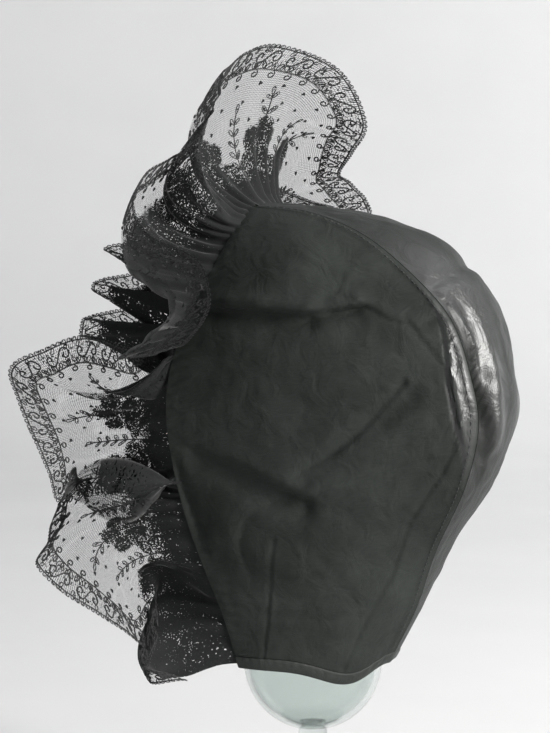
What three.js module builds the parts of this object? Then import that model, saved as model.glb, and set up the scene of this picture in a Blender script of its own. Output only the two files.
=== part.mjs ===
// A black silk day cap with a gathered lace frill round the face, on a footed glass stand.
// Millimetres, +Z up. The wearer faces -X and the wearer's left side is -Y.
// The origin is the middle of the underside of the stand's foot.
import * as THREE from "three";
import { mergeVertices } from "three/addons/utils/BufferGeometryUtils.js";

// Cloth walls and the gap that neighbouring pieces keep
const SILK_WALL = 1.6;
const HEM_WALL = 2.4;
const LACE_WALL = 1.0;
const GAP = 0.3;

// Neck hem and lace strip
const HEM_HEIGHT = 7;
const LACE_WIDTH = 98;
const LACE_STANDOFF = 1.0;
const NECK_DIP = 9;
const DIP_ENDS = 0.3;
const DIP_SKEW = 2.4;

// Glass stand
const FOOT_RADIUS = 50;
const FOOT_EDGE = 4;
const STEM_RADIUS = 8;
const BOWL_RADIUS = 39;
const BOWL_CENTRE = 92;
const GLASS_WALL = 3;
const SHOULDER = Math.PI * 0.8;
const NECK_RISE = 26;
const NECK_RADIUS = 14;
const LATHE_SIDES = 28;
const BOWL_STEPS = 8;
const CURVE_STEPS = 5;
const CROWN_PLACES = 200;

// Grid of each silk piece: PANEL_ROWS cells from the neck to the crown, shared by panels and gusset
const PANEL_COLUMNS = 16;
const PANEL_ROWS = 26;
const PANEL_TOP = 0.985;
const GUSSET_STATIONS = [0, 0.3, 0.52, 0.66, 0.76, 0.86, 1];
const LACE_COLUMNS = 184;
const LACE_CELLS = 5;

// Front edge of a side panel, from the chin corner to the crown. half is the distance from the middle plane.
const FRONT_EDGE = [
  { x: -29, half: 58, z: 103 },
  { x: -35, half: 61, z: 125 },
  { x: -44, half: 64, z: 149 },
  { x: -53, half: 66.5, z: 175 },
  { x: -60, half: 68.5, z: 203 },
  { x: -64, half: 70, z: 232 },
  { x: -62, half: 69.5, z: 258 },
  { x: -54, half: 66.5, z: 283 },
  { x: -44, half: 60, z: 307 },
  { x: -34, half: 47, z: 331 },
  { x: -28, half: 30, z: 347 },
];

// Seam between panel and gusset, from the nape to the crown's front. bulge is how far the gusset stands out.
const SEAM = [
  { x: 49, half: 8, z: 100, bulge: 0 },
  { x: 62, half: 12, z: 126, bulge: 1 },
  { x: 76, half: 28, z: 160, bulge: 3 },
  { x: 94, half: 41, z: 196, bulge: 7 },
  { x: 102, half: 46, z: 228, bulge: 11 },
  { x: 98, half: 47, z: 256, bulge: 15 },
  { x: 87, half: 46, z: 286, bulge: 18 },
  { x: 64, half: 43, z: 311, bulge: 19 },
  { x: 36, half: 39, z: 332, bulge: 10 },
  { x: 4, half: 34, z: 344, bulge: 3 },
  { x: -28, half: 30, z: 347, bulge: 2 },
];

// How far a panel swells past its edges, and how squarely it turns in to the seam, from the neck to the crown
const PANEL_SWELL = [
  { swell: 4, turn: 2.0 },
  { swell: 5, turn: 2.2 },
  { swell: 5, turn: 2.8 },
  { swell: 5, turn: 2.8 },
  { swell: 4, turn: 2.2 },
  { swell: 0, turn: 1.4 },
];

// Creases of a panel in the side view, each from one point to another. A negative lift is a valley.
// They fade out over the share CALM_EDGE of the width at the front edge and at the seam.
const CALM_EDGE = 0.2;
const CREASES = [
  { x0: -40, z0: 298, x1: 14, z1: 294, lift: 2.2, width: 6 },
  { x0: -38, z0: 287, x1: 14, z1: 284, lift: -2.4, width: 5 },
  { x0: 41, z0: 296, x1: 76, z1: 279, lift: 1.8, width: 6 },
  { x0: -46, z0: 209, x1: 8, z1: 184, lift: -3.6, width: 7 },
  { x0: 12, z0: 202, x1: 68, z1: 246, lift: -2.6, width: 6 },
  { x0: 14, z0: 184, x1: 82, z1: 204, lift: -2.4, width: 6 },
  { x0: -58, z0: 200, x1: -40, z1: 158, lift: -3.4, width: 8 },
  { x0: -26, z0: 162, x1: 4, z1: 152, lift: 2.6, width: 10 },
];

// Open tuck beside each seam at the back of the gusset, as shares of the seam and of the half width
const TUCK = { from: 0.28, deepest: 0.47, to: 0.68, across: 0.76, width: 0.1, depth: 7 };

// Outer edge of the lace on the wearer's left and over the crown: a row for each turn of a flute.
// at is the place on the front edge, from 0 at the left end of the hem to 1 at the right end.
const FLUTES = [
  { at: 0.004, x: -41, y: -104, z: 97 },
  { at: 0.022, x: -49, y: -114, z: 97 },
  { at: 0.04, x: -63, y: -106, z: 96 },
  { at: 0.056, x: -68, y: -86, z: 104 },
  { at: 0.072, x: -71, y: -57, z: 117 },
  { at: 0.088, x: -73, y: -55, z: 113 },
  { at: 0.105, x: -72, y: -78, z: 109 },
  { at: 0.135, x: -92, y: -98, z: 128 },
  { at: 0.158, x: -123, y: -108, z: 152 },
  { at: 0.166, x: -129, y: -80, z: 165 },
  { at: 0.173, x: -131, y: -54, z: 181 },
  { at: 0.18, x: -124, y: -50, z: 201 },
  { at: 0.188, x: -116, y: -78, z: 202 },
  { at: 0.196, x: -116, y: -98, z: 189 },
  { at: 0.225, x: -129, y: -90, z: 214 },
  { at: 0.27, x: -152, y: -76, z: 256 },
  { at: 0.283, x: -140, y: -52, z: 268 },
  { at: 0.292, x: -117, y: -50, z: 276 },
  { at: 0.3, x: -82, y: -70, z: 269 },
  { at: 0.306, x: -52, y: -108, z: 270 },
  { at: 0.314, x: -28, y: -133, z: 281 },
  { at: 0.322, x: -16, y: -146, z: 298 },
  { at: 0.331, x: -19, y: -146, z: 313 },
  { at: 0.34, x: -31, y: -141, z: 322 },
  { at: 0.35, x: -51, y: -132, z: 330 },
  { at: 0.36, x: -64, y: -124, z: 343 },
  { at: 0.372, x: -66, y: -110, z: 356 },
  { at: 0.386, x: -60, y: -88, z: 370 },
  { at: 0.402, x: -49, y: -56, z: 379 },
  { at: 0.415, x: -37, y: -86, z: 387 },
  { at: 0.428, x: -24, y: -110, z: 397 },
  { at: 0.44, x: -32, y: -72, z: 411 },
  { at: 0.455, x: -42, y: -30, z: 421 },
  { at: 0.47, x: -36, y: -10, z: 433 },
  { at: 0.49, x: -18, y: 4, z: 437 },
  { at: 0.512, x: 11, y: 16, z: 424 },
  { at: 0.53, x: 24, y: 30, z: 395 },
  { at: 0.545, x: 12, y: 46, z: 378 },
  { at: 0.558, x: 1, y: 62, z: 367 },
  { at: 0.57, x: 4, y: 80, z: 361 },
  { at: 0.582, x: 9, y: 96, z: 353 },
  { at: 0.592, x: 2, y: 110, z: 343 },
  { at: 0.608, x: -58, y: 70, z: 364 },
  { at: 0.622, x: -46, y: 122, z: 338 },
  { at: 0.642, x: -129, y: 58, z: 327 },
  { at: 0.65, x: -142, y: 60, z: 321 },
  { at: 0.66, x: -126, y: 92, z: 311 },
  { at: 0.668, x: -144, y: 58, z: 306 },
  { at: 0.676, x: -150, y: 54, z: 299 },
  { at: 0.686, x: -128, y: 92, z: 289 },
  { at: 0.695, x: -150, y: 54, z: 284 },
  { at: 0.704, x: -158, y: 46, z: 273 },
];

// Even flutes lower on the wearer's right side: every other one leans forwards, the rest stand out
const FAR_FLUTES = { first: 0.73, last: 0.995, turns: 9 };
const FAR_LEAN = new THREE.Vector3(-58, 18, -8);
const FAR_SPREAD = new THREE.Vector3(-16, 66, -4);

const { lerp, clamp, smoothstep } = THREE.MathUtils;
const SMALL_STEP = 0.01;
const MIRROR = new THREE.Vector3(1, -1, 1);

// The value of one column at t, from 0 at the first row to 1 at the last, on a smooth curve through the rows
function column(rows, name) {
  const last = rows.length - 1;
  return (t) => {
    const place = clamp(t, 0, 1) * last;
    const i = Math.min(Math.floor(place), last - 1);
    const f = place - i;
    const value = (k) => rows[clamp(k, 0, last)][name];
    const [a, b, c, d] = [value(i - 1), value(i), value(i + 1), value(i + 2)];
    const slopeB = (c - a) / 2;
    const slopeC = (d - b) / 2;
    const bend = 3 * (c - b) - 2 * slopeB - slopeC;
    const twist = 2 * (b - c) + slopeB + slopeC;
    return b + f * (slopeB + f * (bend + f * twist));
  };
}

const steps = (count, from = 0, to = 1) =>
  Array.from({ length: count + 1 }, (_, i) => lerp(from, to, i / count));

const edgeX = column(FRONT_EDGE, "x");
const edgeHalf = column(FRONT_EDGE, "half");
const edgeZ = column(FRONT_EDGE, "z");
const seamX = column(SEAM, "x");
const seamHalf = column(SEAM, "half");
const seamZ = column(SEAM, "z");
const seamBulge = column(SEAM, "bulge");
const panelSwell = column(PANEL_SWELL, "swell");
const panelTurn = column(PANEL_SWELL, "turn");

// Sum of the creases at a point of the side view: each fades with the distance from its line
function creaseLift(x, z) {
  let lift = 0;
  for (const c of CREASES) {
    const along = new THREE.Vector2(c.x1 - c.x0, c.z1 - c.z0);
    const from = new THREE.Vector2(x - c.x0, z - c.z0);
    const share = clamp(from.dot(along) / along.lengthSq(), 0, 1);
    const away = from.addScaledVector(along, -share).length() / c.width;
    lift += c.lift * Math.exp(-away * away);
  }
  return lift;
}

// Outer face of the left panel: s runs from the front edge to the seam, t from the neck to the crown
function panelPoint(s, t) {
  const x = lerp(edgeX(t), seamX(t), s);
  const dip = NECK_DIP * Math.sin(Math.PI * s ** DIP_SKEW) ** 2 * (1 - smoothstep(t, 0, DIP_ENDS));
  const z = lerp(edgeZ(t), seamZ(t), s) - dip;
  const inwards = lerp(edgeHalf(t), seamHalf(t), s ** panelTurn(t));
  const swell = panelSwell(t) * Math.sin(Math.PI * s);
  const calm = Math.min(1, s / CALM_EDGE, (1 - s) / CALM_EDGE);
  return new THREE.Vector3(x, -inwards - swell - calm * creaseLift(x, z), z);
}

// Outer face of the gusset: q runs from -1 at the left seam to 1 at the right, t from the nape to the front
function gussetPoint(q, t) {
  const [before, after] = [t - SMALL_STEP, t + SMALL_STEP];
  const tangent = new THREE.Vector2(seamX(after) - seamX(before), seamZ(after) - seamZ(before));
  const out = new THREE.Vector2(tangent.y, -tangent.x).normalize();
  const open = t < TUCK.deepest
    ? smoothstep(t, TUCK.from, TUCK.deepest)
    : 1 - smoothstep(t, TUCK.deepest, TUCK.to);
  const fromTuck = (Math.abs(q) - TUCK.across) / TUCK.width;
  const tuck = TUCK.depth * open * Math.exp(-fromTuck * fromTuck);
  const lift = seamBulge(t) * (1 - q * q) - tuck;
  return new THREE.Vector3(seamX(t) + out.x * lift, q * seamHalf(t), seamZ(t) + out.y * lift);
}

// Outward normals of a grid of points, where the first index and then the second turn outwards
function gridNormals(grid) {
  const rows = grid.length - 1;
  const columns = grid[0].length - 1;
  return grid.map((row, i) =>
    row.map((_, j) => {
      const along = grid[Math.min(i + 1, rows)][j].clone().sub(grid[Math.max(i - 1, 0)][j]);
      const across = row[Math.min(j + 1, columns)].clone().sub(row[Math.max(j - 1, 0)]);
      return along.cross(across).normalize();
    }),
  );
}

// A closed wall between two grids of points of the same size, outer and inner
function wallBetween(outer, inner) {
  const rows = outer.length;
  const columns = outer[0].length;
  const points = [...outer.flat(), ...inner.flat()];
  const at = (side, i, j) => side * rows * columns + i * columns + j;
  const faces = [];
  const quad = (a, b, c, d) => faces.push(a, b, c, a, c, d);
  for (let i = 0; i + 1 < rows; i++) {
    for (let j = 0; j + 1 < columns; j++) {
      quad(at(0, i, j), at(0, i + 1, j), at(0, i + 1, j + 1), at(0, i, j + 1));
      quad(at(1, i, j), at(1, i, j + 1), at(1, i + 1, j + 1), at(1, i + 1, j));
    }
  }
  for (let i = 0; i + 1 < rows; i++) {
    quad(at(0, i, 0), at(1, i, 0), at(1, i + 1, 0), at(0, i + 1, 0));
    quad(at(0, i, columns - 1), at(0, i + 1, columns - 1), at(1, i + 1, columns - 1), at(1, i, columns - 1));
  }
  for (let j = 0; j + 1 < columns; j++) {
    quad(at(0, 0, j), at(0, 0, j + 1), at(1, 0, j + 1), at(1, 0, j));
    quad(at(0, rows - 1, j), at(1, rows - 1, j), at(1, rows - 1, j + 1), at(0, rows - 1, j + 1));
  }
  const geometry = new THREE.BufferGeometry().setFromPoints(points);
  geometry.setIndex(faces);
  return geometry;
}

const shifted = (grid, normals, distance) =>
  grid.map((row, i) => row.map((p, j) => p.clone().addScaledVector(normals[i][j], distance)));

// A piece on the wearer's right: the left one's points seen in a mirror, with its faces turned back
function mirrored(geometry) {
  const other = geometry.clone().scale(1, -1, 1);
  const index = other.getIndex().array;
  for (let i = 0; i < index.length; i += 3) [index[i], index[i + 1]] = [index[i + 1], index[i]];
  return other;
}

const rowPlaces = steps(PANEL_ROWS, 0, PANEL_TOP);
const columnPlaces = steps(PANEL_COLUMNS);
const gussetPlaces = [...GUSSET_STATIONS.slice(1).reverse().map((q) => -q), ...GUSSET_STATIONS];

const panelGrid = columnPlaces.map((s) => rowPlaces.map((t) => panelPoint(s, t)));
const panelNormals = gridNormals(panelGrid);
const gussetGrid = gussetPlaces.map((q) => rowPlaces.map((t) => gussetPoint(q, t)));
const gussetNormals = gridNormals(gussetGrid);

// Along the seam both walls end on one mitre, so that they meet face to face with the gap between them
const leftSeam = rowPlaces.map((t, i) => {
  const panelOut = panelNormals[PANEL_COLUMNS][i];
  const gussetOut = gussetNormals[0][i];
  const mitre = panelOut.clone().add(gussetOut).normalize();
  const run = gussetPoint(-1, t + SMALL_STEP).sub(gussetPoint(-1, t - SMALL_STEP)).normalize();
  const apart = run.cross(mitre).normalize();
  return { inwards: mitre.multiplyScalar(-SILK_WALL / mitre.dot(panelOut)), apart };
});
const toPanel = Math.sign(
  leftSeam[0].apart.dot(panelGrid[PANEL_COLUMNS - 1][0].clone().sub(panelGrid[PANEL_COLUMNS][0])),
);

const panelInner = shifted(panelGrid, panelNormals, -SILK_WALL);
const gussetInner = shifted(gussetGrid, gussetNormals, -SILK_WALL);
const lastStation = gussetPlaces.length - 1;
leftSeam.forEach(({ inwards, apart }, i) => {
  const aside = apart.clone().multiplyScalar((toPanel * GAP) / 2);
  const panelEdge = panelGrid[PANEL_COLUMNS][i].add(aside);
  panelInner[PANEL_COLUMNS][i].copy(panelEdge).add(inwards);
  const gussetEdge = gussetGrid[0][i].sub(aside);
  gussetInner[0][i].copy(gussetEdge).add(inwards);
  gussetGrid[lastStation][i].copy(gussetEdge).multiply(MIRROR);
  gussetInner[lastStation][i].copy(gussetInner[0][i]).multiply(MIRROR);
});
const panelWall = wallBetween(panelGrid, panelInner);
const gussetWall = wallBetween(gussetGrid, gussetInner);

// Hem: a band that carries the neck edge on downwards, from one chin corner round the nape to the other
function hemWall() {
  const place = (top, above) => ({ top, down: top.clone().sub(above).normalize() });
  const other = ({ top, down }) => ({
    top: top.clone().multiply(MIRROR),
    down: down.clone().multiply(MIRROR),
  });
  const side = columnPlaces.map((s) => place(panelPoint(s, 0), panelPoint(s, SMALL_STEP)));
  const nape = place(gussetPoint(0, 0), gussetPoint(0, SMALL_STEP));
  const path = [...side, nape, ...side.map(other).reverse()];
  const grid = path.map(({ top, down }) =>
    steps(2, HEM_HEIGHT, 0).map((drop) => top.clone().addScaledVector(down, GAP + drop)),
  );
  const normals = gridNormals(grid);
  const proud = (HEM_WALL - SILK_WALL) / 2;
  return wallBetween(shifted(grid, normals, proud), shifted(grid, normals, proud - HEM_WALL));
}

// Front edge that the lace is sewn to, from the left end of the hem over the crown to the right end.
// Each place has a point in the middle of the silk's thickness and the way ahead out of the silk.
function frontEdgePath() {
  const place = (edge, behind) => ({ point: edge, ahead: edge.clone().sub(behind).normalize() });
  const other = ({ point, ahead }) => ({
    point: point.clone().multiply(MIRROR),
    ahead: ahead.clone().multiply(MIRROR),
  });
  const onPanel = (i, j) => panelGrid[i][j].clone().lerp(panelInner[i][j], 0.5);
  const onGusset = (i, j) => gussetGrid[i][j].clone().lerp(gussetInner[i][j], 0.5);
  const left = rowPlaces.map((_, j) => place(onPanel(0, j), onPanel(1, j)));
  const down = onPanel(0, 0).sub(onPanel(0, 1)).normalize();
  const hemEnd = left[0].point.clone().addScaledVector(down, GAP + HEM_HEIGHT);
  left.unshift({ point: hemEnd, ahead: left[0].ahead });
  const top = gussetPlaces.map((_, i) => place(onGusset(i, PANEL_ROWS), onGusset(i, PANEL_ROWS - 1)));
  const path = [...left, ...top.slice(1, -1), ...left.map(other).reverse()];
  const lengths = [0];
  for (let i = 1; i < path.length; i++) {
    lengths.push(lengths[i - 1] + path[i].point.distanceTo(path[i - 1].point));
  }
  const whole = lengths[lengths.length - 1];
  return (share) => {
    const wanted = clamp(share, 0, 1) * whole;
    const i = clamp(lengths.findIndex((l) => l >= wanted), 1, path.length - 1);
    const f = (wanted - lengths[i - 1]) / (lengths[i] - lengths[i - 1]);
    return {
      point: path[i - 1].point.clone().lerp(path[i].point, f),
      ahead: path[i - 1].ahead.clone().lerp(path[i].ahead, f).normalize(),
    };
  };
}
const frontEdge = frontEdgePath();

// Rows of the right side's even flutes, in the same columns as the table
function farFlutes() {
  return steps(FAR_FLUTES.turns - 1, FAR_FLUTES.first, FAR_FLUTES.last).map((at, i) => {
    const end = frontEdge(at).point.add(i % 2 === 0 ? FAR_SPREAD : FAR_LEAN);
    return { at, x: end.x, y: end.y, z: end.z };
  });
}

// Lace: each line across the strip leaves the front edge and bows to its place on the outer edge.
// The bow takes up what the lace is wider than the straight distance.
function laceWall() {
  const rows = [...FLUTES, ...farFlutes()];
  const at = column(rows, "at");
  const outer = { x: column(rows, "x"), y: column(rows, "y"), z: column(rows, "z") };
  const grid = steps(LACE_COLUMNS).map((u) => {
    const { point, ahead } = frontEdge(at(u));
    const start = point.clone().addScaledVector(ahead, LACE_STANDOFF);
    const reach = new THREE.Vector3(outer.x(u), outer.y(u), outer.z(u)).sub(start);
    const straight = Math.min(reach.length(), LACE_WIDTH);
    const towards = reach.clone().normalize();
    const bowWay = ahead.clone().addScaledVector(towards, -ahead.dot(towards)).normalize();
    const bow = straight * Math.sqrt(Math.max(0, (3 / 8) * (LACE_WIDTH / straight - 1)));
    return steps(LACE_CELLS).map((v) =>
      start
        .clone()
        .addScaledVector(towards, straight * v)
        .addScaledVector(bowWay, bow * 4 * v * (1 - v)),
    );
  });
  const normals = gridNormals(grid);
  return wallBetween(shifted(grid, normals, LACE_WALL / 2), shifted(grid, normals, -LACE_WALL / 2));
}

// Stand: foot, stem, round bowl and a narrow straight neck, whose lip meets the crown from inside
function standLathe() {
  const round = steps(LATHE_SIDES, 0, 2 * Math.PI);
  const overLip = round.map((a) => crownUnderside(NECK_RADIUS * Math.cos(a), NECK_RADIUS * Math.sin(a)));
  const lipTop = Math.min(...overLip) - GAP;
  const innerBowl = BOWL_RADIUS - GLASS_WALL;
  const innerNeck = NECK_RADIUS - GLASS_WALL;
  const onBowl = (radius, angle) =>
    new THREE.Vector2(radius * Math.sin(angle), BOWL_CENTRE - radius * Math.cos(angle));
  const stemAngle = Math.asin(STEM_RADIUS / BOWL_RADIUS);
  // Upright S from one place to another, that starts and ends straight up
  const rise = (from, to) => {
    const middle = (from.y + to.y) / 2;
    return new THREE.CubicBezierCurve(
      from,
      new THREE.Vector2(from.x, middle),
      new THREE.Vector2(to.x, middle),
      to,
    ).getPoints(CURVE_STEPS);
  };
  const neckTop = BOWL_CENTRE + BOWL_RADIUS + NECK_RISE;
  const neckCurve = (bowl, neck) => rise(onBowl(bowl, SHOULDER), new THREE.Vector2(neck, neckTop));
  const profile = [
    new THREE.Vector2(0, 0),
    new THREE.Vector2(FOOT_RADIUS, 0),
    new THREE.Vector2(FOOT_RADIUS, FOOT_EDGE),
    new THREE.Vector2(STEM_RADIUS * 2, FOOT_EDGE * 2),
    ...rise(new THREE.Vector2(STEM_RADIUS * 1.4, FOOT_EDGE * 3), onBowl(BOWL_RADIUS, stemAngle)),
    ...steps(BOWL_STEPS, stemAngle, SHOULDER).map((angle) => onBowl(BOWL_RADIUS, angle)).slice(1),
    ...neckCurve(BOWL_RADIUS, NECK_RADIUS).slice(1),
    new THREE.Vector2(NECK_RADIUS, lipTop),
    new THREE.Vector2(innerNeck, lipTop),
    ...neckCurve(innerBowl, innerNeck).reverse(),
    ...steps(BOWL_STEPS, SHOULDER, 0).map((angle) => onBowl(innerBowl, angle)).slice(1, -1),
    new THREE.Vector2(0, BOWL_CENTRE - innerBowl),
  ];
  const turned = new THREE.LatheGeometry(profile, LATHE_SIDES).rotateX(Math.PI / 2);
  turned.deleteAttribute("normal");
  turned.deleteAttribute("uv");
  return mergeVertices(turned, 1e-3);
}

// Height of the gusset's inside over a point near the crown's front, found among many places of the seam
function crownUnderside(x, y) {
  const places = steps(CROWN_PLACES, TUCK.to, 1);
  const place = places.reduce((best, t) => (Math.abs(seamX(t) - x) < Math.abs(seamX(best) - x) ? t : best));
  return gussetPoint(y / seamHalf(place), place).z - SILK_WALL - GAP;
}

const SILK = { color: 0x2c2e2c, roughness: 0.72, metalness: 0 };
const LACE = { color: 0x161617, roughness: 0.85, metalness: 0 };
const GLASS = { color: 0xdfe7e4, roughness: 0.05, metalness: 0, transparent: true, opacity: 0.4 };

function piece(name, geometry, finish) {
  const mesh = new THREE.Mesh(geometry, new THREE.MeshStandardMaterial(finish));
  mesh.name = name;
  return mesh;
}

const cap = new THREE.Group();
cap.add(piece("side_panel_left", panelWall, SILK));
cap.add(piece("side_panel_right", mirrored(panelWall), SILK));
cap.add(piece("crown_gusset", gussetWall, SILK));
cap.add(piece("neck_hem", hemWall(), SILK));
cap.add(piece("lace_frill", laceWall(), LACE));

const model = new THREE.Group();
model.add(cap);
model.add(piece("glass_stand", standLathe(), GLASS));

export default model;
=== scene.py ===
import bpy
import numpy as np
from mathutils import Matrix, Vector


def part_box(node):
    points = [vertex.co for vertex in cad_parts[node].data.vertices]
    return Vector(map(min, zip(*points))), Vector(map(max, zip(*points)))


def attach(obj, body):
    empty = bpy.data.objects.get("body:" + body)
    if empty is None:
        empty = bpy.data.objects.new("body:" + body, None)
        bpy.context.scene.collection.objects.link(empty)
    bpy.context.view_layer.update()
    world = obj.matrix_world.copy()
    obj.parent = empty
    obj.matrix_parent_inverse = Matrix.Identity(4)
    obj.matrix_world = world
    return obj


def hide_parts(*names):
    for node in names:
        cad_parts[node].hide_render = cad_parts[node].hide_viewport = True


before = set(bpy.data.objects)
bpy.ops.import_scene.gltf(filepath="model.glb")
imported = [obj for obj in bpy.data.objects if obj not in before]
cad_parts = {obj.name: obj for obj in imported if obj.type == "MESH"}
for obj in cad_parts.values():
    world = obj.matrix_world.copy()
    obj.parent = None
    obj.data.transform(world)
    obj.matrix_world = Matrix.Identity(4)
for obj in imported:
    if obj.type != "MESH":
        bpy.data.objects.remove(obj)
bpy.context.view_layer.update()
mm = 0.001
print("frame loaded")


# General shapes

def lerp(a, b, t):
    return a + (b - a) * t


def smooth(t, low, high):
    f = np.clip((t - low) / (high - low), 0, 1)
    return f * f * (3 - 2 * f)


def bell(distance, width):
    return np.exp(-((distance / width) ** 2))


def unit(v):
    return v / np.maximum(np.linalg.norm(v, axis=-1, keepdims=True), 1e-9)


# Lengths from the start of a line to each of its points
def runAlong(points):
    return np.concatenate([[0], np.cumsum(np.linalg.norm(np.diff(points, axis=0), axis=1))])


# Points or ways of a line, at other places along its run
def between(places, run, line):
    return np.stack([np.interp(places, run, line[:, k]) for k in range(3)], -1)


# Profile of radius and height turned round the upright axis
def turned(profile, angle):
    radius, height = profile[:, 0, None], profile[:, 1, None]
    return np.stack(np.broadcast_arrays(radius * np.cos(angle), radius * np.sin(angle), height), -1)


# The same values for the outer and the inner face of a wall
def twice(values):
    return np.concatenate([values, values])


def grids(first, second):
    return np.meshgrid(first, second, indexing="ij")


mirrored = np.array([1, -1, 1])


# Smooth curve through evenly spaced values: a cubic between neighbours, sloped as the chord past each
def through(values, t):
    v = np.asarray(values, float)
    last = len(v) - 1
    place = np.clip(t, 0, 1) * last
    i = np.minimum(place.astype(int), last - 1)
    f = place - i
    a, b, c, d = (v[np.clip(i + k, 0, last)] for k in (-1, 0, 1, 2))
    slopeB = (c - a) / 2
    slopeC = (d - b) / 2
    bend = 3 * (c - b) - 2 * slopeB - slopeC
    twist = 2 * (b - c) + slopeB + slopeC
    return b + f * (slopeB + f * (bend + f * twist))


def curvePoints(points, t):
    return np.stack([through(column, t) for column in np.transpose(points)], -1)


# Normals of a grid of points: the way along the first index crossed with the way along the second
def gridNormals(points):
    return unit(np.cross(np.gradient(points, axis=0), np.gradient(points, axis=1)))


def gridFaces(rows, columns, start=0):
    i, j = grids(np.arange(rows - 1), np.arange(columns - 1))
    a = start + i * columns + j
    return np.stack([a, a + columns, a + columns + 1, a + 1], -1).reshape(-1, 4)


# Closed wall between an outer and an inner grid: both faces and the four rims
def wallFaces(rows, columns):
    half = rows * columns
    outer = gridFaces(rows, columns)
    inner = gridFaces(rows, columns, half)[:, ::-1]
    number = np.arange(half).reshape(rows, columns)
    rims = []
    for line in (number[:, 0], number[::-1, -1], number[-1], number[0, ::-1]):
        a, b = line[:-1], line[1:]
        rims.append(np.stack([a, a + half, b + half, b], -1))
    return np.concatenate([outer, inner] + rims)


# Quads between rings of points that are stored ring after ring
def ringFaces(rings, around):
    i, k = grids(np.arange(rings - 1), np.arange(around))
    k2 = (k + 1) % around
    corners = [i * around + k, i * around + k2, (i + 1) * around + k2, (i + 1) * around + k]
    return np.stack(corners, -1).reshape(-1, 4)


# The same with a point at each end, both stored behind the rings, and a fan of triangles to each
def closedRings(rings, around):
    near = np.arange(around)
    after = (near + 1) % around
    last = (rings - 1) * around
    fans = np.concatenate([
        np.stack([np.full(around, rings * around), after, near], -1),
        np.stack([np.full(around, rings * around + 1), last + near, last + after], -1),
    ])
    return [ringFaces(rings, around), fans]


# Faces turned inside out, with the first corner kept
def flipped(faces):
    return np.roll(faces[:, ::-1], 1, 1)


def makePiece(name, points, faces, material, uv=None, values=None):
    mesh = bpy.data.meshes.new(name)
    mesh.vertices.add(len(points))
    mesh.vertices.foreach_set("co", np.ascontiguousarray(points * mm, np.float32).ravel())
    corners = np.concatenate([f.ravel() for f in faces]).astype(np.int32)
    sizes = np.concatenate([np.full(len(f), f.shape[1]) for f in faces])
    mesh.loops.add(len(corners))
    mesh.loops.foreach_set("vertex_index", corners)
    mesh.polygons.add(len(sizes))
    starts = np.concatenate([[0], np.cumsum(sizes)[:-1]]).astype(np.int32)
    mesh.polygons.foreach_set("loop_start", starts)
    mesh.polygons.foreach_set("use_smooth", np.ones(len(sizes), bool))
    mesh.update(calc_edges=True)
    if uv is not None:
        layer = mesh.uv_layers.new(name="cloth")
        layer.data.foreach_set("uv", np.ascontiguousarray(uv[corners], np.float32).ravel())
    for key, value in (values or {}).items():
        attribute = mesh.attributes.new(key, "FLOAT", "POINT")
        attribute.data.foreach_set("value", np.ascontiguousarray(value, np.float32).ravel())
    mesh.set_sharp_from_angle(angle=np.radians(60))
    piece = bpy.data.objects.new(name, mesh)
    bpy.context.collection.objects.link(piece)
    mesh.materials.append(material)
    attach(piece, "root")
    return piece


# Materials

class Nodes:
    def __init__(self, name):
        self.material = bpy.data.materials.new(name)
        self.material.use_nodes = True
        self.tree = self.material.node_tree
        self.shader = self.tree.nodes["Principled BSDF"]

    def add(self, kind, inputs=None, **settings):
        node = self.tree.nodes.new(kind)
        for key, value in settings.items():
            setattr(node, key, value)
        for key, value in (inputs or {}).items():
            if isinstance(value, bpy.types.NodeSocket):
                self.tree.links.new(value, node.inputs[key])
            else:
                node.inputs[key].default_value = value
        return node

    def math(self, operation, a, b=0.0):
        return self.add("ShaderNodeMath", {0: a, 1: b}, operation=operation).outputs[0]

    def noise(self, place, scale, detail, **more):
        inputs = {"Vector": place, "Scale": scale, "Detail": detail, **more}
        return self.add("ShaderNodeTexNoise", inputs).outputs["Fac"]

    def waves(self, place, scale, direction):
        inputs = {"Vector": place, "Scale": scale}
        return self.add("ShaderNodeTexWave", inputs, bands_direction=direction).outputs["Fac"]

    # A share of one value and the rest of another
    def mixed(self, a, share, b):
        return self.math("ADD", self.math("MULTIPLY", a, share), self.math("MULTIPLY", b, 1 - share))

    def link(self, socket, key):
        self.tree.links.new(socket, self.shader.inputs[key])

    def bump(self, height, strength, distance):
        inputs = {"Height": height, "Strength": strength, "Distance": distance}
        return self.add("ShaderNodeBump", inputs).outputs[0]

    # Colour from a dark to a pale tone while the value runs from low to high
    def ramp(self, value, dark, pale, low=0.0, high=1.0):
        node = self.add("ShaderNodeValToRGB", {"Fac": value})
        for element, tone, place in zip(node.color_ramp.elements, (dark, pale), (low, high)):
            element.position = place
            element.color = (*tone, 1)
        return node.outputs[0]

    def set(self, **values):
        for key, value in values.items():
            self.shader.inputs[key.replace("_", " ")].default_value = value


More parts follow.
